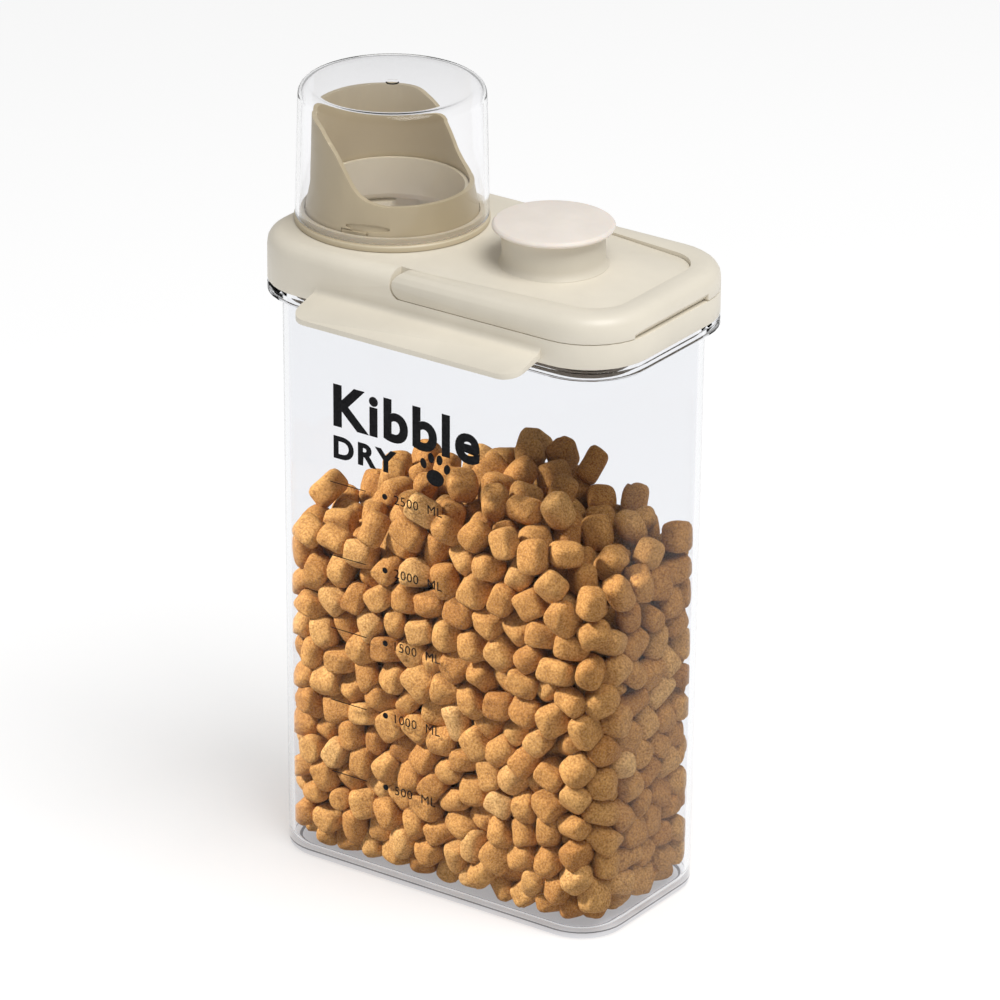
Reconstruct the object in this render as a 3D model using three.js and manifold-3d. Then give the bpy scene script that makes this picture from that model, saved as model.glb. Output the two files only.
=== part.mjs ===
// Clear dry pet food bin with a press-on lid: pouring spout under a measuring cup, folding bail handle,
// and a stoppered moisture-absorber port. Millimetres, +Z up, +X along the bin, -Y is the front.
// The origin is the centre of the flat base.
import * as THREE from "three";
import { mergeVertices } from "three/addons/utils/BufferGeometryUtils.js";
import Module from "manifold-3d";

const wasm = await Module();
wasm.setup();

// ---- driving dimensions ----
const GAP = 0.3; // clearance kept between separate pieces
const CORNER_STEPS = 9; // facets in each rounded corner of an outline
const ROUND_STEPS = 4; // facets in an edge rounding
const CIRCLE_STEPS = 64;
const MOUTH_STEPS = 28; // facets along the spout's mouth

const RIM = { w: 184.4, d: 102.6, r: 28.5 }; // widest outline: the bin's flange and the lid's skirt
const RIM_OVERHANG = 6.3; // flange beyond the wall
const DRAFT = 1.6; // wall inset at the base, each side
const WALL = 2.2;
const FLOOR = 3;
const FLOOR_FILLET = 5;
const BASE_ROUND = 2.5;
const FLANGE_Z = 256.2;
const FLANGE_HEIGHT = 5;
const MOUTH_Z = 267.4; // top of the bin's mouth

const SKIRT_Z = 261.6; // lower edge of the lid
const LID_TOP_Z = 283.3;
const LID_ROUND = 6;
const LID_WALL = 2.2;

const BAIL_Z = 272.7; // underside of the folded handle
const BAIL_HALF = (LID_TOP_Z - BAIL_Z) / 2;
const PIVOT = { x: -9.5, z: BAIL_Z + BAIL_HALF };
const TRUNNION_R = 2.2;
// raised middle of the lid, inside the handle: it narrows from the pivots towards its free end
const PANEL = { taper: -3, end: 80.4, half: 42.6, endHalf: 35.4, r: 14 };
const PANEL_DROP = 2.1; // fall of the panel's top towards its free end
const BAIL_GAP = 0.4;
const BAIL_END_GAP = 1;

const TAB = { x: 3.2, length: 112.6, reach: 19.3, z: 266, thick: 2.2, r: 8, fall: 4.5 };

const SPOUT_X = -51.2;
const POUR_ANGLE = 84; // degrees from the front (-Y) towards +X
const COLLAR = { outer: 31.9, inner: 30.3, top: 298.6, funnel: 282.5 }; // flares out below
const SPOUT_FLANGE = { r: 40.9, z: LID_TOP_Z + GAP, thick: 2.5 };
const SPOUT_WALL = 2;
const SPOUT_TOP = 330.4;
const LIP_Z = 300.8;
// side view of the spout's mouth, [distance along the pour, z]: high hood, steep sides, low lip
const MOUTH_CURVE = [
  [-30, SPOUT_TOP - 0.1], [-14.5, 329.2], [-8, 325.8], [-1.5, 320.4], [4, 313], [8.4, 306.6],
  [13.5, 302.8], [20, LIP_Z],
];

// snap latches in the spout's foot: a bar in a slot, with a shallow dent over it
const LATCH = {
  width: 12, height: 2.8, gap: 0.6, rise: 2.9, dentHalf: 9.5, dentHeight: 3.4, dentRise: 5.55, dentTurn: 9,
};

const CUP = { rim: 40.6, top: 39.3, z: 286.6, roof: 343, wall: 1.8, round: 5, gate: 2.8 };

const PORT = { x: 30.3, boss: 21.4, bore: 18.4, ledge: 16.6, ledgeZ: 285.4, top: 297.4 };
const STOPPER = { r: 25.5, thick: 2.4, plug: 18.1, depth: 9.5 };
const BASKET = { r: 16.3, wall: 1.2, floor: 263, slots: 12, slotWidth: 3 };

const MATERIALS = {
  clear: new THREE.MeshStandardMaterial({
    color: 0xf4f6fa, roughness: 0.06, metalness: 0, transparent: true, opacity: 0.3,
  }),
  shell: new THREE.MeshStandardMaterial({ color: 0xdcd5c6, roughness: 0.42, metalness: 0 }),
  stopper: new THREE.MeshStandardMaterial({ color: 0xe9e0d6, roughness: 0.6, metalness: 0 }),
  seal: new THREE.MeshStandardMaterial({ color: 0xeceae6, roughness: 0.55, metalness: 0 }),
  sachet: new THREE.MeshStandardMaterial({ color: 0xf3f3ef, roughness: 0.9, metalness: 0 }),
};

// ---- solids ----
const degrees = THREE.MathUtils.degToRad;

/** A closed manifold solid from vertices and triangles, turned to face outwards. */
function closedSolid(positions, triangles) {
  const make = (t) =>
    new wasm.Manifold(new wasm.Mesh({ numProp: 3, vertProperties: positions, triVerts: t }));
  const solid = make(triangles);
  if (solid.volume() > 0) return solid;
  const turned = triangles.slice();
  for (let i = 0; i < turned.length; i += 3) {
    turned[i + 1] = triangles[i + 2];
    turned[i + 2] = triangles[i + 1];
  }
  return make(turned);
}

/** A three.js geometry as a solid, without the flat triangles a lathe leaves on its axis. */
function solidOf(geometry) {
  const bare = (geometry.index ? geometry.toNonIndexed() : geometry).clone();
  bare.deleteAttribute("normal");
  bare.deleteAttribute("uv");
  const merged = mergeVertices(bare, 1e-4);
  const kept = [];
  const index = merged.index.array;
  for (let i = 0; i < index.length; i += 3) {
    const [a, b, c] = [index[i], index[i + 1], index[i + 2]];
    if (a !== b && b !== c && a !== c) kept.push(a, b, c);
  }
  return closedSolid(new Float32Array(merged.attributes.position.array), new Uint32Array(kept));
}

/** Points of a rounded rectangle, anticlockwise, always the same number of them. */
function roundedRect({ w, d, r, x = 0, y = 0 }) {
  const points = [];
  const radius = Math.max(r, 0.4);
  const corners = [[1, -1, -90], [1, 1, 0], [-1, 1, 90], [-1, -1, 180]];
  for (const [sx, sy, start] of corners) {
    for (let i = 0; i <= CORNER_STEPS; i++) {
      const a = degrees(start + (90 * i) / CORNER_STEPS);
      points.push([
        x + sx * (w / 2 - radius) + radius * Math.cos(a),
        y + sy * (d / 2 - radius) + radius * Math.sin(a),
      ]);
    }
  }
  return points;
}

/** The outline moved inwards by an offset. */
const inset = (o, by) => ({ ...o, w: o.w - 2 * by, d: o.d - 2 * by, r: o.r - by });

/** Skin through rings of equal length; open ends are closed by a fan, closed ones join up. */
function skin(rings, closed) {
  const n = rings[0].length;
  const positions = rings.flat(2);
  const triangles = [];
  const last = closed ? rings.length : rings.length - 1;
  for (let k = 0; k < last; k++) {
    const a = k * n;
    const b = ((k + 1) % rings.length) * n;
    for (let i = 0; i < n; i++) {
      const j = (i + 1) % n;
      triangles.push(a + i, a + j, b + j, a + i, b + j, b + i);
    }
  }
  if (!closed) {
    for (const k of [0, rings.length - 1]) {
      const centre = positions.length / 3;
      const ring = rings[k];
      const mean = (axis) => ring.reduce((sum, p) => sum + p[axis], 0) / n;
      positions.push(mean(0), mean(1), ring[0][2]);
      for (let i = 0; i < n; i++) {
        const j = (i + 1) % n;
        triangles.push(...(k ? [k * n + i, k * n + j, centre] : [j, i, centre]));
      }
    }
  }
  return closedSolid(new Float32Array(positions), new Uint32Array(triangles));
}

/** A solid whose level sections are an outline inset by each [inset, z] of a profile. */
function sections(outline, profile, closed = false) {
  const rings = profile.map(([by, z]) => roundedRect(inset(outline, by)).map((p) => [...p, z]));
  return skin(rings, closed);
}

/** Points of a quarter-circle rounding about (cx, cz), from one angle to another. */
function arc(cx, cz, r, from, to, steps = ROUND_STEPS) {
  return Array.from({ length: steps + 1 }, (_, i) => {
    const a = degrees(from + ((to - from) * i) / steps);
    return [cx + r * Math.cos(a), cz + r * Math.sin(a)];
  });
}

/** A turned solid about a vertical axis at (x, y), from [radius, z] points. */
function turned(profile, x = 0, y = 0, steps = CIRCLE_STEPS) {
  const points = profile.map(([r, z]) => new THREE.Vector2(r, z));
  const lathe = new THREE.LatheGeometry(points, steps);
  lathe.rotateX(Math.PI / 2);
  lathe.translate(x, y, 0);
  return solidOf(lathe);
}

/** A ring of rectangular section. */
const tube = (outer, inner, z0, z1, x = 0, y = 0) =>
  turned([[inner, z0], [outer, z0], [outer, z1], [inner, z1], [inner, z0]], x, y);

/** A disc or plug. */
const disc = (r, z0, z1, x = 0, y = 0) => turned([[0, z0], [r, z0], [r, z1], [0, z1]], x, y);

/** A box between two corners. */
function box([x0, y0, z0], [x1, y1, z1]) {
  const made = new THREE.BoxGeometry(x1 - x0, y1 - y0, z1 - z0);
  made.translate((x0 + x1) / 2, (y0 + y1) / 2, (z0 + z1) / 2);
  return solidOf(made);
}

/** An outline in X and Z, extruded along Y. */
function sideProfile(points, y0, y1) {
  const shape = new THREE.Shape(points.map(([x, z]) => new THREE.Vector2(x, z)));
  const made = new THREE.ExtrudeGeometry(shape, { depth: y1 - y0, bevelEnabled: false });
  made.rotateX(Math.PI / 2);
  made.translate(0, y1, 0);
  return solidOf(made);
}

/** A cylinder along Y. */
function crossPin(r, x, z, y0, y1, steps = 32) {
  const made = new THREE.CylinderGeometry(r, r, y1 - y0, steps);
  made.translate(x, (y0 + y1) / 2, z);
  return solidOf(made);
}

// ---- the bin ----
const wallOutline = inset(RIM, RIM_OVERHANG);

function containerBody() {
  const outerAt = (z) => DRAFT * (1 - z / FLANGE_Z);
  const lip = RIM_OVERHANG;
  const outer = [
    [outerAt(0) + BASE_ROUND, 0],
    ...arc(0, 0, 1, 0, 90, 3).slice(1, -1).map(([c, s]) => [
      outerAt(0) + BASE_ROUND * (1 - s), BASE_ROUND * (1 - c),
    ]),
    [outerAt(BASE_ROUND), BASE_ROUND],
    [outerAt(FLANGE_Z - 1), FLANGE_Z - 1],
    [-lip + 1.2, FLANGE_Z],
    [-lip, FLANGE_Z + 0.9],
    [-lip, FLANGE_Z + FLANGE_HEIGHT - 0.9],
    [-lip + 1.2, FLANGE_Z + FLANGE_HEIGHT],
    [-0.2, FLANGE_Z + FLANGE_HEIGHT],
    [-0.2, MOUTH_Z - 0.6],
    [0.4, MOUTH_Z],
  ];
  const inner = [
    [WALL - 0.4, MOUTH_Z],
    [WALL, MOUTH_Z - 0.6],
    [WALL, FLANGE_Z],
    ...arc(0, 0, 1, 0, 90, ROUND_STEPS).map(([c, s]) => [
      WALL + outerAt(0) + FLOOR_FILLET * (1 - c), FLOOR + FLOOR_FILLET * (1 - s),
    ]),
  ];
  return sections(wallOutline, [...outer, ...inner]);
}

// ---- the lid ----
/** The whole outside of the lid and its folded handle, as one block. */
const lidEnvelope = () =>
  sections(RIM, [
    [0.3, SKIRT_Z],
    [0, SKIRT_Z + 0.5],
    ...arc(LID_ROUND, LID_TOP_Z - LID_ROUND, LID_ROUND, 180, 90),
  ]);

/** Half the panel's width at x, ahead of its square end. */
function panelHalf(x) {
  const along = Math.min((x - PANEL.taper) / (PANEL.end - PANEL.taper), 1);
  return THREE.MathUtils.lerp(PANEL.half, PANEL.endHalf, along);
}

/** The raised middle of the lid, as a tall prism: square by the pivots, then tapering. */
function panelPrism(grow, z0, z1) {
  const left = PIVOT.x - 60;
  const end = PANEL.end + grow;
  const half = PANEL.endHalf + grow;
  const side = PANEL.half + grow;
  const outline = { w: end - left, d: 2 * half, r: PANEL.r + grow, x: (end + left) / 2 };
  const plan = roundedRect(outline).map(([x, y]) => [x, (y * (panelHalf(x) + grow)) / half]);
  return skin([z0, z1].map((z) => plan.map((p) => [...p, z])), false)
    .intersect(box([left, -side, z0], [end, side, z1]));
}

/** The side outline of the folded handle, right across the lid: arms with round pivot ends. */
const bailBlock = () =>
  box([PIVOT.x, -60, PIVOT.z - BAIL_HALF], [100, 60, LID_TOP_Z + 20])
    .add(crossPin(BAIL_HALF, PIVOT.x, PIVOT.z, -60, 60, 40));

/** The room that the lid leaves for the handle, folded or turned up. */
function bailRoom() {
  const half = BAIL_HALF + BAIL_GAP;
  const endHalf = BAIL_HALF + BAIL_END_GAP;
  const arms = box([PIVOT.x, -60, PIVOT.z - half], [100, 60, LID_TOP_Z + 20]);
  const ends = crossPin(endHalf, PIVOT.x, PIVOT.z, -60, 60, 40)
    .add(box([PIVOT.x - endHalf, -60, PIVOT.z], [PIVOT.x, 60, LID_TOP_Z + 20]))
    .intersect(box([-30, -60, PIVOT.z - half], [10, 60, LID_TOP_Z + 20]));
  return arms.add(ends);
}

function frontTab() {
  const yWall = -RIM.d / 2;
  const outline = { w: TAB.length, d: 2 * TAB.reach, r: TAB.r, x: TAB.x, y: yWall };
  const slab = skin(
    [TAB.z - 12, TAB.z + 6].map((z) => roundedRect(outline).map((p) => [...p, z])),
    false,
  );
  const fillet = 3;
  const top = (y) => TAB.z - (TAB.fall * (yWall - y)) / TAB.reach;
  const side = [
    [yWall + 1.5, TAB.z - TAB.thick],
    [yWall - TAB.reach - 1, top(yWall - TAB.reach - 1) - TAB.thick],
    [yWall - TAB.reach - 1, top(yWall - TAB.reach - 1)],
    ...arc(yWall - fillet, TAB.z + fillet, fillet, 270, 360).map(([y, z]) => [y, z - 0.2]),
    [yWall + 1.5, TAB.z + fillet],
  ];
  const shape = new THREE.Shape(side.map(([y, z]) => new THREE.Vector2(y, z)));
  const made = new THREE.ExtrudeGeometry(shape, { depth: TAB.length + 10, bevelEnabled: false });
  made.rotateX(Math.PI / 2);
  made.rotateZ(Math.PI / 2);
  made.translate(TAB.x - TAB.length / 2 - 5, 0, 0);
  const wedge = solidOf(made);
  return wedge.intersect(slab);
}

function lidShell() {
  const ledgeUnder = BAIL_Z - BAIL_GAP - 2;
  const roofUnder = LID_TOP_Z - PANEL_DROP - 2.2;
  const skirtRoom = sections(inset(RIM, LID_WALL), [[0, SKIRT_Z - 5], [0, ledgeUnder]]);
  const roofRoom = panelPrism(-LID_WALL, ledgeUnder - 1, roofUnder)
    .intersect(sections(inset(RIM, LID_ROUND + 1.5), [[0, SKIRT_Z], [0, LID_TOP_Z]]));
  const bail = bailRoom().subtract(panelPrism(0, 200, 320));
  const x0 = PIVOT.x - BAIL_HALF;
  const fall = sideProfile(
    [[x0, LID_TOP_Z], [PANEL.end + 5, LID_TOP_Z - PANEL_DROP], [PANEL.end + 5, 300], [x0, 300]],
    -PANEL.half - 5, PANEL.half + 5,
  );
  const boss = turned(
    [
      [0, LID_TOP_Z - 3.6],
      [PORT.boss + 1.6, LID_TOP_Z - 3.6],
      [PORT.boss + 1.6, LID_TOP_Z - 1],
      [PORT.boss + 0.5, LID_TOP_Z + 0.6],
      [PORT.boss, LID_TOP_Z + 2.6],
      [PORT.boss, PORT.top],
      [0, PORT.top],
    ],
    PORT.x,
  );
  const port = turned(
    [
      [0, LID_TOP_Z - 8],
      [PORT.ledge, LID_TOP_Z - 8],
      [PORT.ledge, PORT.ledgeZ],
      [PORT.bore, PORT.ledgeZ],
      [PORT.bore, PORT.top + 5],
      [0, PORT.top + 5],
    ],
    PORT.x,
  );
  const flare = COLLAR.funnel - roofUnder + 0.5;
  const funnel = turned(
    [
      [0, COLLAR.funnel - flare],
      [COLLAR.inner + flare, COLLAR.funnel - flare],
      [COLLAR.inner, COLLAR.funnel],
      [0, COLLAR.funnel],
    ],
    SPOUT_X,
  );
  const trunnionHoles = crossPin(TRUNNION_R + GAP, PIVOT.x, PIVOT.z, -60, 60, 24)
    .intersect(panelPrism(1, 200, 320));
  return lidEnvelope()
    .subtract(skirtRoom)
    .subtract(roofRoom)
    .subtract(bail)
    .subtract(fall)
    .add(boss)
    .subtract(port)
    .add(disc(COLLAR.outer, roofUnder, COLLAR.top, SPOUT_X))
    .subtract(disc(COLLAR.inner, SKIRT_Z, COLLAR.top + 5, SPOUT_X))
    .subtract(funnel)
    .subtract(trunnionHoles)
    .add(frontTab().subtract(skirtRoom));
}

const MOUTH = inset(wallOutline, WALL); // inside of the bin's mouth
const FRAME_INSET = 3.6;
const FRAME = { z0: 254.6, z1: BAIL_Z - BAIL_GAP - 2 - GAP, wall: 1.8, flange: 1.2 };

/** Ring under the lid that carries the gasket into the bin's mouth. */
function lidInnerFrame() {
  const { z0, z1, wall, flange } = FRAME;
  return sections(
    MOUTH,
    [
      [flange, z0],
      [flange, z0 + 1.6],
      [FRAME_INSET, z0 + 1.6],
      [FRAME_INSET, z1],
      [FRAME_INSET + wall, z1],
      [FRAME_INSET + wall, z0],
    ],
    true,
  );
}

/** Silicone gasket: a band round the frame with two lips that wipe the bin's mouth. */
function lidGasket() {
  const back = FRAME_INSET - GAP;
  const z0 = FRAME.z0 + 1.6 + GAP;
  const lip = (z) => [[back - 1.2, z], [GAP, z + 0.7], [GAP, z + 1.5], [back - 1.2, z + 2.2]];
  return sections(
    MOUTH,
    [[back, z0], ...lip(z0), ...lip(z0 + 3.6), [back - 1.2, z0 + 8], [back, z0 + 8]],
    true,
  );
}

function handle() {
  const inner = PANEL.half - LID_WALL - 1.5;
  const trunnion = crossPin(TRUNNION_R, PIVOT.x, PIVOT.z, -PANEL.half - 4, PANEL.half + 4, 24)
    .subtract(box([-30, -inner, 200], [20, inner, 320]));
  const x = RIM.w / 2;
  const notch = sideProfile([[x - 3, BAIL_Z - 1], [x + 3, BAIL_Z - 1], [x + 3, BAIL_Z + 7]], -30, 22);
  return lidEnvelope()
    .intersect(bailBlock())
    .subtract(panelPrism(BAIL_GAP, 200, 320))
    .subtract(notch)
    .add(trunnion);
}

// ---- the spout and its cup ----
/** A flat-sided cutter seen from the side of the pour, [along the pour, z] points. */
function pourCut(points) {
  const shape = new THREE.Shape(points.map(([u, z]) => new THREE.Vector2(u, z)));
  const made = new THREE.ExtrudeGeometry(shape, { depth: 120, bevelEnabled: false });
  made.translate(0, 0, -60);
  made.rotateX(Math.PI / 2);
  made.rotateZ(degrees(POUR_ANGLE - 90));
  made.translate(SPOUT_X, 0, 0);
  return solidOf(made);
}

function spout() {
  const foot = SPOUT_FLANGE.z + SPOUT_FLANGE.thick;
  const w = SPOUT_WALL;
  const outer = [[36.3, foot], [36, foot + 4.4], [34.2, foot + 13], [33.7, 315], [33.3, SPOUT_TOP]];
  const body = turned(
    [
      [outer[0][0] - w, SPOUT_FLANGE.z],
      [SPOUT_FLANGE.r, SPOUT_FLANGE.z],
      [SPOUT_FLANGE.r, foot - 0.6],
      [SPOUT_FLANGE.r - 0.6, foot],
      ...outer,
      ...outer.toReversed().map(([r, z]) => [r - w, z]),
      [outer[0][0] - w, SPOUT_FLANGE.z],
    ],
    SPOUT_X,
  );
  const curve = new THREE.SplineCurve(MOUTH_CURVE.map(([u, z]) => new THREE.Vector2(u, z)));
  const edge = curve.getPoints(MOUTH_STEPS).map((p) => [p.x, p.y]);
  const mouth = pourCut([[-60, 345], [-60, SPOUT_TOP + 1], ...edge, [60, LIP_Z], [60, 345]]);
  const block = (x0, x1, width, height, angle) => {
    const made = new THREE.BoxGeometry(x1 - x0, width, height);
    made.translate((x0 + x1) / 2, 0, foot + LATCH.rise);
    made.rotateZ(degrees(angle));
    made.translate(SPOUT_X, 0, 0);
    return solidOf(made);
  };
  const dent = (angle) => {
    const lens = new THREE.CylinderGeometry(1, 1, 8, 32);
    lens.rotateZ(Math.PI / 2);
    lens.scale(1, LATCH.dentHalf, LATCH.dentHeight / 2);
    lens.translate(36, 0, foot + LATCH.dentRise);
    lens.rotateZ(degrees(angle + LATCH.dentTurn));
    lens.translate(SPOUT_X, 0, 0);
    const [z0, z1] = [foot + 4, foot + 9];
    const band = turned([[35.2, z0], [40, z0], [40, z1], [34.2, z1], [35.2, z0]], SPOUT_X);
    return solidOf(lens).intersect(band);
  };
  const { width, height, gap } = LATCH;
  let latched = body.subtract(mouth);
  for (const angle of [-80, 100]) {
    latched = latched
      .subtract(dent(angle))
      .subtract(block(35, 38, width, height, angle))
      .add(block(34.6, 36.1, width - 2 * gap, height - 2 * gap, angle));
  }
  return latched;
}

const spoutSeal = () => tube(34 - GAP, COLLAR.outer + GAP, 287, 290, SPOUT_X);

function cupSeal() {
  const foot = SPOUT_FLANGE.z + SPOUT_FLANGE.thick;
  return tube(CUP.rim - CUP.wall - GAP, 36.4 + GAP, foot + GAP, foot + 2.6, SPOUT_X);
}

function measuringCup() {
  const { rim, top, z, roof, wall, round, gate } = CUP;
  return turned(
    [
      [rim - wall, z],
      [rim, z],
      ...arc(top - round, roof - round, round, 0, 90, 5),
      [gate, roof],
      [gate - 0.3, roof + 0.5],
      [0, roof + 0.5],
      [0, roof - wall],
      ...arc(top - round, roof - round, round - wall, 90, 0, 5),
      [rim - wall, z],
    ],
    SPOUT_X,
  );
}

// ---- the stoppered port ----
function portStopper() {
  const z = PORT.top + GAP;
  const { r, thick, plug, depth } = STOPPER;
  return turned(
    [
      [0, z + thick],
      [r - 1, z + thick],
      [r, z + thick - 1],
      [r, z + 0.6],
      [r - 0.6, z],
      [plug - 0.4, z],
      [plug - 0.4, z - 2],
      [plug, z - 2.8],
      [plug - 0.4, z - 3.6],
      [plug - 0.4, z - 6],
      [plug, z - 6.8],
      [plug - 0.4, z - 7.6],
      [plug - 1, z - depth],
      [plug - 3, z - depth],
      [plug - 3, z],
      [0, z],
    ],
    PORT.x,
  );
}

/** Slotted cup that hangs in the port and holds the moisture absorber. */
function absorberBasket() {
  const { r, wall, floor, slots, slotWidth } = BASKET;
  const z = PORT.ledgeZ + GAP;
  let made = turned(
    [
      [0, floor],
      [r, floor],
      [r, z],
      [PORT.bore - GAP, z],
      [PORT.bore - GAP, z + 1.4],
      [r - wall, z + 1.4],
      [r - wall, floor + wall],
      [0, floor + wall],
    ],
    PORT.x,
    0,
    48,
  );
  for (let i = 0; i < slots; i++) {
    const slot = new THREE.BoxGeometry(6, slotWidth, 12);
    slot.translate(r, 0, (floor + z) / 2);
    slot.rotateZ((2 * Math.PI * (i + 0.5)) / slots);
    slot.translate(PORT.x, 0, 0);
    made = made.subtract(solidOf(slot));
  }
  return made;
}

/** Small pillow of moisture absorber lying in the basket. */
function absorberSachet() {
  const z0 = BASKET.floor + BASKET.wall + GAP;
  const r = BASKET.r - BASKET.wall - 1.2;
  return turned([[0, z0], [r - 3, z0], [r, z0 + 4], [r - 3, z0 + 8], [0, z0 + 9]], PORT.x, 0, 32);
}

// ---- assembly ----
function meshOf(name, solid, material) {
  const data = solid.getMesh();
  const geometry = new THREE.BufferGeometry();
  geometry.setAttribute("position", new THREE.BufferAttribute(data.vertProperties, 3));
  geometry.setIndex(new THREE.BufferAttribute(data.triVerts, 1));
  geometry.computeVertexNormals();
  const mesh = new THREE.Mesh(geometry, material);
  mesh.name = name;
  return mesh;
}

const group = new THREE.Group();
group.add(
  meshOf("container_body", containerBody(), MATERIALS.clear),
  meshOf("lid_shell", lidShell(), MATERIALS.shell),
  meshOf("lid_inner_frame", lidInnerFrame(), MATERIALS.shell),
  meshOf("lid_gasket", lidGasket(), MATERIALS.seal),
  meshOf("handle", handle(), MATERIALS.shell),
  meshOf("spout", spout(), MATERIALS.shell),
  meshOf("spout_seal", spoutSeal(), MATERIALS.seal),
  meshOf("cup_seal", cupSeal(), MATERIALS.seal),
  meshOf("measuring_cup", measuringCup(), MATERIALS.clear),
  meshOf("port_stopper", portStopper(), MATERIALS.stopper),
  meshOf("absorber_basket", absorberBasket(), MATERIALS.shell),
  meshOf("absorber_sachet", absorberSachet(), MATERIALS.sachet),
);

export default group;
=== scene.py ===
# Visual model of the dry food bin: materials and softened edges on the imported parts, the print on
# its front wall and the dry food inside. Metres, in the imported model's own frame.
import math

import bpy
import numpy as np
from mathutils import Matrix, Vector


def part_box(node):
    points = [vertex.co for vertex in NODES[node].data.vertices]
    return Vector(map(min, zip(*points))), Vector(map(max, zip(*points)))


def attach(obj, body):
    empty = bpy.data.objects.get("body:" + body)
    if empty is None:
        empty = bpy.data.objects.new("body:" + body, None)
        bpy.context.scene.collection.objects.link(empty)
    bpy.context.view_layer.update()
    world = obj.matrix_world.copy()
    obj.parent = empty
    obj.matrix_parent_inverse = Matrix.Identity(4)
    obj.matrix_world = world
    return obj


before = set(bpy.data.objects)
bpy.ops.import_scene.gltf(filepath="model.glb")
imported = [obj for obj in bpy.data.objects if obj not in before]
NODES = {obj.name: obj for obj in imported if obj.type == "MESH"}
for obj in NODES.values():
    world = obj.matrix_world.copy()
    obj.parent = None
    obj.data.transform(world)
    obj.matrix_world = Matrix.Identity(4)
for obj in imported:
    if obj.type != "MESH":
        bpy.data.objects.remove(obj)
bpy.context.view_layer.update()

MM = 0.001
SEED = 7

# ---- camera and studio ----
CAMERA_AT = (1.5156, -2.1702, 1.3214)
CAMERA_AZIMUTH = 34.93
CAMERA_ELEVATION = 23.92
CAMERA_ROLL = 0.41
LENS = 248.0
SHIFT = (0.0093, 0.0453)

WORLD_STRENGTH = 0.40
FLOOR_GLOW = 0.42  # keeps the backdrop white where the lamp falls off
FLOOR_REACH = 9.0
LAMP_TARGET = (0, 0, 0.16)
# each softbox: place, size and power in watts
KEY_LAMP = ((1.15, -0.35, 2.7), (1.6, 1.6), 58.0)
FOOD_LAMP = ((-1.6, -1.35, 1.9), (0.25, 0.25), 200.0)

# ---- the bin's walls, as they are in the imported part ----
WALL_OVERHANG = 6.3 * MM  # rim beyond the wall
WALL_DRAFT = 1.6 * MM  # wall inset at the base
WALL_THICK = 2.2 * MM
FLANGE_Z = 256.2 * MM
RIM_RADIUS = 28.5 * MM
BIN_FLOOR = 3 * MM
FLOOR_FILLET = 5 * MM
SLAB_TOP = 3.3 * MM  # below this the base is solid plastic
FLOOR_SHADE_LINE = 0.3 * MM  # half the height of the painted dark line over it: painted shade at the inner floor's edge

# ---- printed front ----
PRINT_LIFT = 0.05 * MM
PRINT_DEPTH = 0.06 * MM
CAP_HEIGHT = 0.729  # of the font, at size 1
PRINT_LEFT = -49.0 * MM
MARK_STEP = 33.6 * MM  # 500 ml
FIRST_MARK = 45 * MM
MARK_COUNT = 5

# ---- dry food ----
FOOD_SPACING = 14.4 * MM  # between the middles of two pieces
FOOD_REACH = 7.1 * MM  # from a piece's middle to a wall
FOOD_JITTER = 2.4 * MM
SETTLE_STEPS = 60
SETTLE_DROP = 0.12 * MM
WALL_CLEARANCE = 0.35 * MM
HIDDEN_DEPTH = 30 * MM  # pieces further inside the heap are left out
ROD_SHARE = 0.3
PEAK = (0.020, 0.004, 0.192)  # top of the heap
HEAP_SLOPES = (0.42, 0.62)  # falling to the left and to the right
HEAP_CROWN = 0.012
HEAP_BOW = 5.5  # fall towards the front and the back


def link(obj):
    bpy.context.scene.collection.objects.link(obj)
    return obj


# ---------------------------------------------------------------- node material helpers
class Nodes:
    """Short names for building a material's node tree."""

    def __init__(self, name):
        self.material = bpy.data.materials.new(name)
        self.material.use_nodes = True
        self.tree = self.material.node_tree
        self.tree.nodes.clear()
        self.out = self.add("ShaderNodeOutputMaterial")

    def add(self, kind, **values):
        node = self.tree.nodes.new(kind)
        for key, value in values.items():
            setattr(node, key, value)
        return node

    def join(self, source, target):
        self.tree.links.new(source, target)

    def noise(self, scale, detail=3.0, roughness=0.55):
        node = self.add("ShaderNodeTexNoise")
        node.inputs["Scale"].default_value = scale
        node.inputs["Detail"].default_value = detail
        node.inputs["Roughness"].default_value = roughness
        self.join(self.position(), node.inputs["Vector"])
        return node.outputs["Fac"]

    def position(self):
        if not hasattr(self, "_position"):
            self._position = self.add("ShaderNodeTexCoord").outputs["Object"]
        return self._position

    def ramp(self, source, stops):
        node = self.add("ShaderNodeValToRGB")
        ramp = node.color_ramp
        while len(ramp.elements) < len(stops):
            ramp.elements.new(0.5)
        for element, (place, colour) in zip(ramp.elements, stops):
            element.position = place
            element.color = (*colour, 1.0)
        self.join(source, node.inputs["Fac"])
        return node.outputs["Color"]

    def spread(self, source, low, high):
        node = self.add("ShaderNodeMapRange")
        node.inputs["To Min"].default_value = low
        node.inputs["To Max"].default_value = high
        self.join(source, node.inputs["Value"])
        return node.outputs["Result"]

    def bump(self, height, strength, distance, under=None):
        node = self.add("ShaderNodeBump")
        node.inputs["Strength"].default_value = strength
        node.inputs["Distance"].default_value = distance
        self.join(height, node.inputs["Height"])
        if under is not None:
            self.join(under, node.inputs["Normal"])
        return node.outputs["Normal"]

    def principled(self, colour=None, roughness=0.5, **values):
        node = self.add("ShaderNodeBsdfPrincipled")
        if colour is not None:
            node.inputs["Base Color"].default_value = (*colour, 1.0)
        node.inputs["Roughness"].default_value = roughness
        for key, value in values.items():
            node.inputs[key].default_value = value
        return node

    def finish(self, shader):
        self.join(shader.outputs[0], self.out.inputs["Surface"])
        return self.material


def shade(colour, factor):
    return tuple(min(1.0, c * factor) for c in colour)


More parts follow.
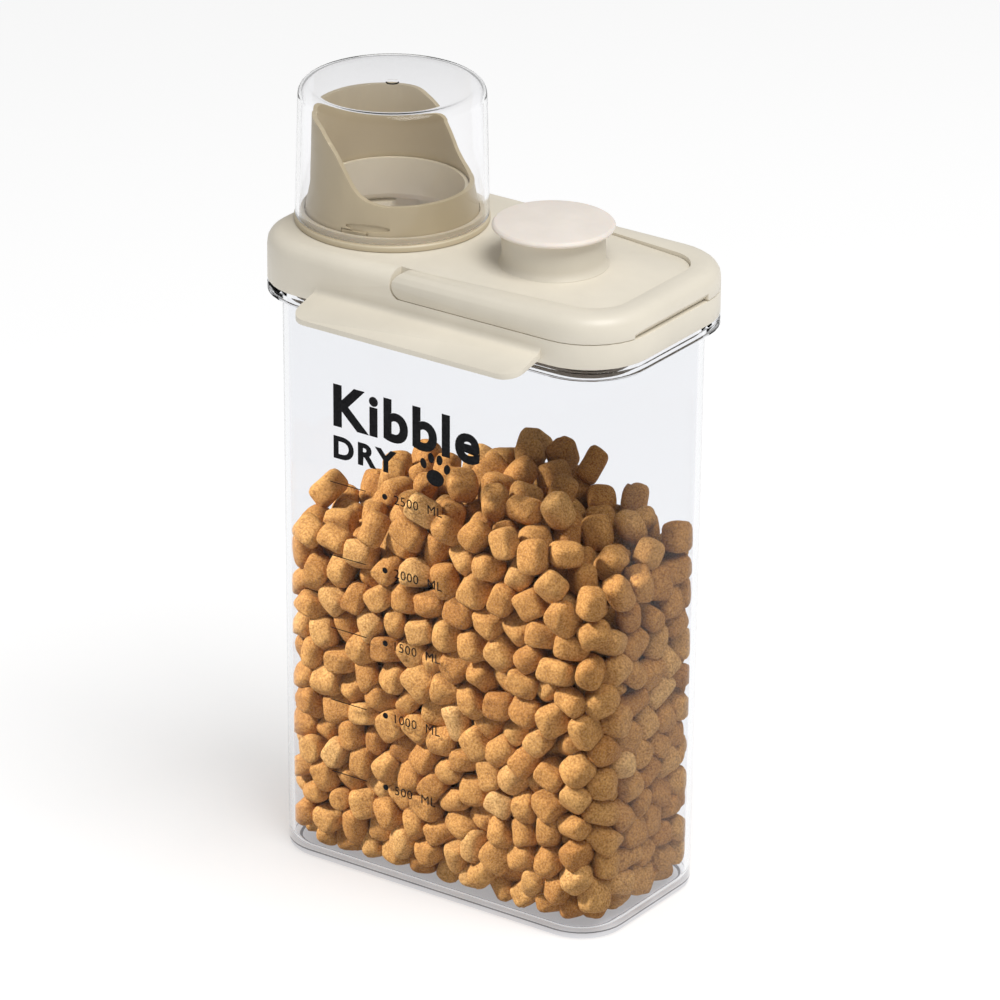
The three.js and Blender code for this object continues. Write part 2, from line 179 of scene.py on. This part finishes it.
def moulded_plastic(name, colour, rough, mottle=0.035, grain=0.06, **values):
    """Moulded plastic: faint flow mottling, a fine satin grain and a little variation in gloss."""
    n = Nodes(name)
    shader = n.principled(roughness=rough, **values)
    flow = n.noise(38.0, 4.0)
    tint = n.ramp(flow, [(0.3, shade(colour, 1 - mottle)), (0.7, shade(colour, 1 + mottle))])
    n.join(tint, shader.inputs["Base Color"])
    n.join(n.spread(n.noise(160.0, 2.0), rough - 0.05, rough + 0.07), shader.inputs["Roughness"])
    sink = n.bump(n.noise(55.0, 1.0), 0.10, 0.4 * MM)
    fine = n.bump(n.noise(2600.0, 2.0), grain, 0.05 * MM, under=sink)
    n.join(fine, shader.inputs["Normal"])
    return n.finish(shader)


def clear_plastic(name, colour, ior, lamp_tint, plain_below=0.0):
    """Polished clear plastic that lets lamps through, with a faint moulded waviness.

    The solid slab of a base, below a height, is seen straight through, with a painted dark line
    above it: painted shade for the dark edge at the inner floor."""
    n = Nodes(name)
    shader = n.principled(colour, roughness=0.01, IOR=ior)
    shader.inputs["Transmission Weight"].default_value = 1.0
    wave = n.bump(n.noise(14.0, 1.5), 0.05, 1.0 * MM)
    scuff = n.bump(n.noise(900.0, 2.0), 0.012, 0.05 * MM, under=wave)
    n.join(scuff, shader.inputs["Normal"])
    seen = shader
    if plain_below:
        clear = n.add("ShaderNodeBsdfTransparent")
        clear.inputs["Color"].default_value = (*shade(colour, 0.98), 1.0)
        height = n.add("ShaderNodeSeparateXYZ")
        n.join(n.position(), height.inputs[0])
        low = n.add("ShaderNodeMath", operation="LESS_THAN")
        low.inputs[1].default_value = plain_below
        n.join(height.outputs["Z"], low.inputs[0])
        # painted shade: a thin near-black band in the glass colour just over the solid slab, for
        # the dark edge at the inner floor
        line = n.add("ShaderNodeMath", operation="COMPARE")
        line.inputs[1].default_value = plain_below + FLOOR_SHADE_LINE
        line.inputs[2].default_value = FLOOR_SHADE_LINE
        n.join(height.outputs["Z"], line.inputs[0])
        colour_with_shade_line = n.add("ShaderNodeMix", data_type="RGBA")
        colour_with_shade_line.inputs["A"].default_value = (*colour, 1.0)
        colour_with_shade_line.inputs["B"].default_value = (0.10, 0.10, 0.11, 1.0)
        n.join(line.outputs[0], colour_with_shade_line.inputs["Factor"])
        n.join(colour_with_shade_line.outputs["Result"], shader.inputs["Base Color"])
        seen = n.add("ShaderNodeMixShader")
        n.join(low.outputs[0], seen.inputs[0])
        n.join(shader.outputs[0], seen.inputs[1])
        n.join(clear.outputs[0], seen.inputs[2])
    open_way = n.add("ShaderNodeBsdfTransparent")
    open_way.inputs["Color"].default_value = (*lamp_tint, 1.0)
    path = n.add("ShaderNodeLightPath")
    either = n.add("ShaderNodeMath", operation="MAXIMUM")
    n.join(path.outputs["Is Shadow Ray"], either.inputs[0])
    n.join(path.outputs["Is Diffuse Ray"], either.inputs[1])
    mix = n.add("ShaderNodeMixShader")
    n.join(either.outputs[0], mix.inputs[0])
    n.join(seen.outputs[0], mix.inputs[1])
    n.join(open_way.outputs[0], mix.inputs[2])
    return n.finish(mix)


def silicone(name, colour, rough=0.5):
    """Soft silicone: a waxy body with a dusty bloom."""
    n = Nodes(name)
    shader = n.principled(roughness=rough)
    shader.inputs["Subsurface Weight"].default_value = 0.25
    shader.inputs["Subsurface Radius"].default_value = (0.004, 0.003, 0.002)
    shader.inputs["Subsurface Scale"].default_value = 0.5
    shader.inputs["Sheen Weight"].default_value = 0.15
    bloom = n.noise(70.0, 5.0)
    n.join(n.ramp(bloom, [(0.35, shade(colour, 0.965)), (0.7, shade(colour, 1.03))]),
           shader.inputs["Base Color"])
    n.join(n.spread(n.noise(240.0, 3.0), rough - 0.08, rough + 0.1), shader.inputs["Roughness"])
    n.join(n.bump(n.noise(1500.0, 2.0), 0.08, 0.06 * MM), shader.inputs["Normal"])
    return n.finish(shader)


def sachet_paper(name):
    """Crimped non-woven paper with a fibrous weave."""
    n = Nodes(name)
    shader = n.principled(roughness=0.9)
    fibre = n.noise(1200.0, 6.0, 0.7)
    n.join(n.ramp(fibre, [(0.3, (0.70, 0.70, 0.68)), (0.7, (0.88, 0.88, 0.86))]),
           shader.inputs["Base Color"])
    creases = n.bump(n.noise(180.0, 3.0), 0.5, 0.6 * MM)
    n.join(n.bump(fibre, 0.4, 0.15 * MM, under=creases), shader.inputs["Normal"])
    return n.finish(shader)


def ink(name):
    """Screen printed ink, slightly uneven."""
    n = Nodes(name)
    shader = n.principled(roughness=0.6)
    shader.inputs["Specular IOR Level"].default_value = 0.08
    n.join(n.ramp(n.noise(900.0, 3.0), [(0.3, (0.004, 0.004, 0.005)), (0.8, (0.02, 0.02, 0.022))]),
           shader.inputs["Base Color"])
    n.join(n.bump(n.noise(3000.0, 1.0), 0.1, 0.02 * MM), shader.inputs["Normal"])
    return n.finish(shader)


CRUMB_STOPS = [(0.36, (0.48, 0.38, 0.30)), (0.5, (0.95, 0.93, 0.92)), (0.66, (1.35, 1.45, 1.6))]


def baked_food(name):
    """Dry extruded food: each piece has its own bake colour, with crumbly grain and dark pores."""
    n = Nodes(name)
    shader = n.principled(roughness=0.82)
    shader.inputs["Specular IOR Level"].default_value = 0.25
    own = n.add("ShaderNodeAttribute", attribute_name="bake").outputs["Fac"]
    body = n.ramp(own, [
        (0.0, (0.40, 0.175, 0.042)), (0.35, (0.47, 0.225, 0.058)), (0.7, (0.55, 0.290, 0.085)),
        (1.0, (0.64, 0.375, 0.135)),
    ])
    crumb = n.noise(1100.0, 5.0, 0.75)
    blotch = n.noise(110.0, 3.0, 0.6)
    mix = n.add("ShaderNodeMix", data_type="RGBA", blend_type="MULTIPLY")
    mix.inputs["Factor"].default_value = 1.0
    n.join(body, mix.inputs["A"])
    n.join(n.ramp(crumb, CRUMB_STOPS), mix.inputs["B"])
    tint = n.add("ShaderNodeMix", data_type="RGBA", blend_type="MULTIPLY")
    tint.inputs["Factor"].default_value = 1.0
    n.join(mix.outputs["Result"], tint.inputs["A"])
    patches = n.ramp(blotch, [(0.35, (0.88, 0.84, 0.8)), (0.65, (1.06, 1.06, 1.05))])
    n.join(patches, tint.inputs["B"])
    n.join(tint.outputs["Result"], shader.inputs["Base Color"])
    lumps = n.bump(blotch, 0.35, 0.8 * MM)
    n.join(n.bump(crumb, 0.7, 0.35 * MM, under=lumps), shader.inputs["Normal"])
    return n.finish(shader)


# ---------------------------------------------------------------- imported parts
CREAM = (0.745, 0.690, 0.580)
# the lid's cream darkened for the spout: painted shade for the shadow in and around the spout
SPOUT_SHADED_CREAM = (0.610, 0.525, 0.375)


def smooth_part(node, bevel=0.0, angle=38.0):
    """Rounds off the part's sharp edges and shades its curved faces smooth."""
    obj = NODES[node]
    mesh = obj.data
    if "custom_normal" in mesh.attributes:
        mesh.attributes.remove(mesh.attributes["custom_normal"])
    mesh.polygons.foreach_set("use_smooth", [True] * len(mesh.polygons))
    weld = obj.modifiers.new("weld", "WELD")
    weld.merge_threshold = 0.004 * MM
    if bevel:
        soft = obj.modifiers.new("soft_edges", "BEVEL")
        soft.width = bevel
        soft.segments = 2
        soft.limit_method = "ANGLE"
        soft.angle_limit = math.radians(angle)
        soft.use_clamp_overlap = True
    split = obj.modifiers.new("edges", "EDGE_SPLIT")
    split.split_angle = math.radians(angle - 6)


def paint(node, material):
    mesh = NODES[node].data
    mesh.materials.clear()
    mesh.materials.append(material)


def dress_parts():
    cream = moulded_plastic("lid_cream", CREAM, 0.40, **{"Coat Weight": 0.06})
    # a darker copy of the cream: painted shade on the spout
    shaded = moulded_plastic("spout_shaded_cream", SPOUT_SHADED_CREAM, 0.42)
    stopper = silicone("stopper_silicone", (0.81, 0.740, 0.670), 0.55)
    seal = silicone("seal_silicone", (0.68, 0.62, 0.52), 0.45)
    gasket = silicone("gasket_silicone", (0.30, 0.27, 0.23), 0.45)
    looks = {
        "container_body": clear_plastic(
            "bin_clear", (0.920, 0.926, 0.941), ior=1.13, lamp_tint=(0.86, 0.86, 0.865),
            plain_below=SLAB_TOP,
        ),
        "measuring_cup": clear_plastic(
            "cup_clear", (0.993, 0.993, 1.0), ior=1.25, lamp_tint=(0.85, 0.83, 0.79),
        ),
        "lid_shell": cream,
        # dark brown on the inner frame is painted shade for the shadow inside the lid, seen down
        # the spout's hole
        "lid_inner_frame": moulded_plastic("frame_painted_shade", (0.20, 0.165, 0.125), 0.5),
        "handle": cream,
        "spout": shaded,
        "lid_gasket": gasket,
        "spout_seal": seal,
        "cup_seal": seal,
        "port_stopper": stopper,
        "absorber_basket": cream,
        "absorber_sachet": sachet_paper("sachet_paper"),
    }
    soft = {"lid_shell": 0.28, "handle": 0.35, "spout": 0.3, "port_stopper": 0.35}
    for node, material in looks.items():
        paint(node, material)
        smooth_part(node, bevel=soft.get(node, 0.0) * MM)


# ---------------------------------------------------------------- the bin's walls, from the frame
def wall_half(z, inner):
    """Half width, half depth and corner radius of the bin's wall at a height, in metres."""
    rim_x, rim_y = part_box("container_body")[1][:2]
    inset = WALL_OVERHANG + WALL_DRAFT * (1 - z / FLANGE_Z) + (WALL_THICK if inner else 0.0)
    return rim_x - inset, rim_y - inset, RIM_RADIUS - inset


def front_y(z):
    return -wall_half(z, inner=False)[1]


# ---------------------------------------------------------------- printed front
def font_mesh(text, height, bold, spacing=1.0):
    """Outlines of a line of text as a flat mesh, scaled to a cap height."""
    curve = bpy.data.curves.new("text", "FONT")
    curve.body = text
    curve.size = 1.0
    curve.offset = bold
    curve.space_character = spacing
    curve.resolution_u = 6
    obj = link(bpy.data.objects.new("text", curve))
    bpy.context.view_layer.update()
    mesh = bpy.data.meshes.new_from_object(obj.evaluated_get(bpy.context.evaluated_depsgraph_get()))
    bpy.data.objects.remove(obj)
    points = np.array([v.co[:2] for v in mesh.vertices])
    faces = [tuple(p.vertices) for p in mesh.polygons]
    bpy.data.meshes.remove(mesh)
    points -= [points[:, 0].min(), 0.0]
    return points * (height / CAP_HEIGHT), faces


def disc_mesh(x, z, rx, rz, steps=20, turn=0.0):
    angles = np.linspace(0, 2 * np.pi, steps, endpoint=False)
    flat = np.stack([rx * np.cos(angles), rz * np.sin(angles)], 1)
    c, s = math.cos(turn), math.sin(turn)
    points = flat @ np.array([[c, s], [-s, c]]) + [x, z]
    return points, [tuple(range(steps))]


def bar_mesh(x0, x1, z, thick):
    h = thick / 2
    return np.array([[x0, z - h], [x1, z - h], [x1, z + h], [x0, z + h]]), [(0, 1, 2, 3)]


def placed(shape, x, z, width=None):
    points, faces = shape
    if width:
        points = points * [width / np.ptp(points[:, 0]), 1.0]
    return points + [x, z], faces


def paw_print(x, z, size):
    """A plain paw: one pad and four toes."""
    toes = [(-0.36, 0.16, 0.25), (-0.13, 0.36, 0.1), (0.13, 0.36, -0.1), (0.36, 0.16, -0.25)]
    shapes = [disc_mesh(x, z - 0.16 * size, 0.27 * size, 0.22 * size, 28)]
    for tx, tz, turn in toes:
        shapes.append(disc_mesh(x + tx * size, z + tz * size, 0.095 * size, 0.14 * size, 18, turn))
    return shapes


def print_front():
    """Title, paw and measuring scale, printed on the outside of the front wall."""
    shapes = [
        placed(font_mesh("Kibble", 18.5 * MM, 0.034, 1.12), PRINT_LEFT, 0.2060, width=0.0745),
        placed(font_mesh("DRY", 9.8 * MM, 0.04, 1.2), PRINT_LEFT, 0.1912, width=0.0325),
        *paw_print(0.0030, 0.1970, 0.0165),
    ]
    for i in range(MARK_COUNT):
        z = FIRST_MARK + i * MARK_STEP
        shapes.append(bar_mesh(-0.0510, -0.0325, z, 0.40 * MM))
        shapes.append(disc_mesh(-0.0228, z, 1.35 * MM, 1.35 * MM))
        label = font_mesh(f"{500 * (i + 1)}  ML", 4.3 * MM, 0.0, 1.1)
        shapes.append(placed(label, -0.0180, z - 2.1 * MM))
    points, faces, base = [], [], 0
    for flat, polygons in shapes:
        points.extend((x, front_y(z) - PRINT_LIFT, z) for x, z in flat)
        faces.extend(tuple(base + i for i in polygon) for polygon in polygons)
        base += len(flat)
    mesh = bpy.data.meshes.new("front_print")
    mesh.from_pydata(points, [], faces)
    mesh.update()
    mesh.materials.append(ink("print_ink"))
    obj = link(bpy.data.objects.new("front_print", mesh))
    thick = obj.modifiers.new("thick", "SOLIDIFY")
    thick.thickness = PRINT_DEPTH
    thick.offset = 0
    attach(obj, "bin")


# ---------------------------------------------------------------- dry food
def into_bin(points, reach):
    """Moves points inside the bin's inner walls and floor, keeping a reach away from them."""
    z = points[:, 2]
    half_x, half_y, radius = wall_half(z, inner=True)
    low = np.clip(BIN_FLOOR + FLOOR_FILLET - (z - reach), 0, FLOOR_FILLET)
    curve = FLOOR_FILLET - np.sqrt(np.maximum(FLOOR_FILLET ** 2 - low ** 2, 0))
    half_x, half_y = half_x - reach - curve, half_y - reach - curve
    radius = np.maximum(radius - reach - curve, 2 * MM)
    flat = points[:, :2]
    q = np.abs(flat) - np.stack([half_x - radius, half_y - radius], 1)
    outside = np.maximum(q, 0)
    length = np.linalg.norm(outside, axis=1)
    corner = (q > 0).all(1)
    over = np.where(corner, length - radius, np.max(q, axis=1) - radius)
    over = np.maximum(over, 0)
    away = np.where(corner[:, None], outside / np.maximum(length, 1e-9)[:, None],
                    (q == np.max(q, axis=1)[:, None]).astype(float))
    points[:, :2] = flat - np.sign(flat) * away * over[:, None]
    points[:, 2] = np.maximum(z, BIN_FLOOR + reach)
    return points


def heap_height(x, y):
    """Height of the food's surface: a rounded ridge that falls off towards the walls."""
    dx, dy = x - PEAK[0], y - PEAK[1]
    slope = np.where(dx < 0, *HEAP_SLOPES)
    fall = slope * (np.sqrt(dx ** 2 + HEAP_CROWN ** 2) - HEAP_CROWN)
    return PEAK[2] - fall - HEAP_BOW * dy ** 2


def food_places(rng):
    """Centres of the food pieces: a jittered lattice, spread until few are too close."""
    step = FOOD_SPACING
    grid = []
    for k, z in enumerate(np.arange(0.008, 0.21, step * 0.80)):
        for j, y in enumerate(np.arange(-0.048, 0.05, step * 0.87)):
            for x in np.arange(-0.09, 0.09, step):
                shift = step * (0.5 * (j % 2) + 0.33 * (k % 2))
                grid.append((x + shift, y + step * 0.29 * (k % 2), z))
    places = np.array(grid) + rng.normal(0, FOOD_JITTER, (len(grid), 3))
    half_x, half_y, _ = wall_half(places[:, 2], inner=True)
    keep = (np.abs(places[:, 0]) < half_x + 1 * MM) & (np.abs(places[:, 1]) < half_y + 1 * MM)
    keep &= places[:, 2] < heap_height(places[:, 0], places[:, 1]) - 4 * MM
    places = into_bin(places[keep], FOOD_REACH)
    count = len(places)
    for _ in range(SETTLE_STEPS):
        close_i, close_j = near_pairs(places, step)
        apart = places[close_i] - places[close_j]
        gap = np.linalg.norm(apart, axis=1)
        push = (apart / np.maximum(gap, 1e-6)[:, None]) * ((step - gap) * 0.27)[:, None]
        move = np.zeros((count, 3))
        np.add.at(move, close_i, push)
        np.add.at(move, close_j, -push)
        places += move
        places[:, 2] -= SETTLE_DROP
        places = into_bin(places, FOOD_REACH - 0.4 * MM)
    return places


def near_pairs(places, reach):
    """Index pairs of places closer than a reach, found along sorted heights."""
    order = np.argsort(places[:, 2])
    ordered = places[order]
    first, second = [], []
    ends = np.searchsorted(ordered[:, 2], ordered[:, 2] + reach)
    for i, end in enumerate(ends):
        if end <= i + 1:
            continue
        near = np.linalg.norm(ordered[i + 1:end] - ordered[i], axis=1) < reach
        hits = np.nonzero(near)[0] + i + 1
        first.append(np.full(len(hits), i))
        second.append(hits)
    return order[np.concatenate(first)], order[np.concatenate(second)]


def cube_sphere(cuts):
    """Unit directions and quads of a cube whose faces are cut into a grid."""
    found, points, quads = {}, [], []

    def index(p):
        key = tuple(np.round(p, 5))
        if key not in found:
            found[key] = len(points)
            points.append(p)
        return found[key]

    for axis in range(3):
        u, v = (axis + 1) % 3, (axis + 2) % 3
        for side in (-1, 1):
            for i in range(cuts):
                for j in range(cuts):
                    corners = []
                    for di, dj in ((0, 0), (1, 0), (1, 1), (0, 1)):
                        p = np.zeros(3)
                        p[axis] = side
                        p[u] = math.tan((2 * (i + di) / cuts - 1) * math.pi / 4)
                        p[v] = math.tan((2 * (j + dj) / cuts - 1) * math.pi / 4)
                        corners.append(index(p))
                    quads.append(corners if side > 0 else corners[::-1])
    directions = np.array(points)
    return directions / np.linalg.norm(directions, axis=1)[:, None], np.array(quads)


def random_turns(rng, count):
    """Random rotation matrices, evenly spread."""
    q = rng.normal(size=(count, 4))
    w, x, y, z = (q / np.linalg.norm(q, axis=1)[:, None]).T
    rows = [
        [1 - 2 * (y * y + z * z), 2 * (x * y - z * w), 2 * (x * z + y * w)],
        [2 * (x * y + z * w), 1 - 2 * (x * x + z * z), 2 * (y * z - x * w)],
        [2 * (x * z - y * w), 2 * (y * z + x * w), 1 - 2 * (x * x + y * y)],
    ]
    return np.array(rows).transpose(2, 0, 1)


def buried(places):
    """True for pieces too deep inside the heap to be seen from anywhere."""
    x, y, z = places.T
    half_x, half_y, _ = wall_half(z, inner=True)
    hidden = (np.abs(x) < half_x - HIDDEN_DEPTH) & (np.abs(y) < half_y - HIDDEN_DEPTH)
    return hidden & (z > HIDDEN_DEPTH) & (z < heap_height(x, y) - HIDDEN_DEPTH)


def piece_shape(rng, directions):
    """A unit body and its half sizes: mostly puffy pillows, some stubby rods."""
    if rng.random() < ROD_SHARE:
        across = rng.uniform(5.3, 6.2)
        half = np.array([across, across * rng.uniform(0.85, 1.0), rng.uniform(6.7, 8.2)]) * MM
        power = rng.uniform(3.8, 5.5)
        ring = np.hypot(directions[:, 0], directions[:, 1])
        norm = (ring ** power + np.abs(directions[:, 2]) ** power) ** (1 / power)
    else:
        half = np.array([rng.uniform(6.7, 7.7), rng.uniform(6.2, 7.1), rng.uniform(4.7, 5.8)]) * MM
        power = rng.uniform(2.9, 4.4)
        norm = (np.abs(directions) ** power).sum(1) ** (1 / power)
    return directions / norm[:, None], half


def pour_food():
    """The dry food: puffy pillows and stubby rods with soft edges, heaped against the walls."""
    rng = np.random.default_rng(SEED)
    places = food_places(rng)
    places = places[~buried(places)]
    directions, quads = cube_sphere(7)
    count, size = len(places), len(directions)
    turns = random_turns(rng, count)
    points = np.empty((count * size, 3))
    bake = np.empty(count * size)
    for i in range(count):
        body, half = piece_shape(rng, directions)
        waves = rng.normal(size=(3, 3)) * 2.6
        phase = rng.uniform(0, 2 * np.pi, 3)
        lumps = np.sin(directions @ waves.T + phase).sum(1)
        dimple = np.exp(-((directions @ turns[i][0] - 1) ** 2) / 0.12)
        body *= (1 + 0.022 * lumps - 0.05 * dimple)[:, None]
        block = slice(i * size, (i + 1) * size)
        points[block] = (body * half) @ turns[i].T + places[i]
        bake[block] = np.clip(rng.normal(0.5, 0.2), 0, 1)
    points = into_bin(points, WALL_CLEARANCE)
    faces = (quads[None] + (np.arange(count) * size)[:, None, None]).reshape(-1, 4)
    mesh = bpy.data.meshes.new("dry_food")
    mesh.vertices.add(len(points))
    mesh.vertices.foreach_set("co", points.ravel())
    mesh.loops.add(faces.size)
    mesh.loops.foreach_set("vertex_index", faces.ravel())
    mesh.polygons.add(len(faces))
    mesh.polygons.foreach_set("loop_start", np.arange(0, faces.size, 4))
    mesh.polygons.foreach_set("use_smooth", [True] * len(faces))
    mesh.update(calc_edges=True)
    mesh.validate()
    mesh.attributes.new("bake", "FLOAT", "POINT").data.foreach_set("value", bake)
    mesh.materials.append(baked_food("dry_food"))
    obj = link(bpy.data.objects.new("dry_food", mesh))
    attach(obj, "bin")
    return obj


# ---------------------------------------------------------------- studio
def add_camera():
    data = bpy.data.cameras.new("camera")
    data.lens = LENS
    data.sensor_width = 36.0
    data.shift_x, data.shift_y = SHIFT
    data.clip_end = 50.0
    camera = link(bpy.data.objects.new("camera", data))
    turn = Matrix.Rotation(math.radians(CAMERA_AZIMUTH), 4, "Z")
    tilt = Matrix.Rotation(math.radians(90 - CAMERA_ELEVATION), 4, "X")
    roll = Matrix.Rotation(math.radians(CAMERA_ROLL), 4, "Z")
    camera.matrix_world = Matrix.Translation(CAMERA_AT) @ turn @ tilt @ roll
    bpy.context.scene.camera = camera


def add_softbox(name, at, size, power, only=None):
    """A soft lamp aimed at the bin; it may be linked to light only one object."""
    data = bpy.data.lights.new(name, "AREA")
    data.shape = "RECTANGLE"
    data.size, data.size_y = size
    data.energy = power
    lamp = link(bpy.data.objects.new(name, data))
    aim = Vector(LAMP_TARGET) - Vector(at)
    lamp.matrix_world = Matrix.Translation(at) @ aim.to_track_quat("-Z", "Y").to_matrix().to_4x4()
    if only is not None:
        lit = bpy.data.collections.new(name + "_lights")
        lit.objects.link(only)
        lamp.light_linking.receiver_collection = lit


def add_studio():
    world = bpy.data.worlds.new("studio")
    world.use_nodes = True
    background = world.node_tree.nodes["Background"]
    background.inputs["Color"].default_value = (1.0, 1.0, 1.0, 1.0)
    background.inputs["Strength"].default_value = WORLD_STRENGTH
    bpy.context.scene.world = world
    bpy.context.scene.view_settings.view_transform = "Standard"
    n = Nodes("floor_white")
    shader = n.principled(roughness=0.9)
    shader.inputs["Specular IOR Level"].default_value = 0.0
    shader.inputs["Emission Color"].default_value = (1.0, 1.0, 1.0, 1.0)
    shader.inputs["Emission Strength"].default_value = FLOOR_GLOW
    n.join(n.ramp(n.noise(1.5, 2.0), [(0.2, (0.69, 0.69, 0.69)), (0.8, (0.71, 0.71, 0.71))]),
           shader.inputs["Base Color"])
    mesh = bpy.data.meshes.new("floor")
    sides = ((-1, -1), (1, -1), (1, 1), (-1, 1))
    corners = [(x * FLOOR_REACH, y * FLOOR_REACH, 0) for x, y in sides]
    mesh.from_pydata(corners, [], [(0, 1, 2, 3)])
    mesh.materials.append(n.finish(shader))
    floor = link(bpy.data.objects.new("floor", mesh))
    floor.location.z = -0.1 * MM
    add_softbox("key", *KEY_LAMP)


add_camera()
add_studio()
print_front()
dress_parts()
food = pour_food()
add_softbox("food_key", *FOOD_LAMP, only=food)
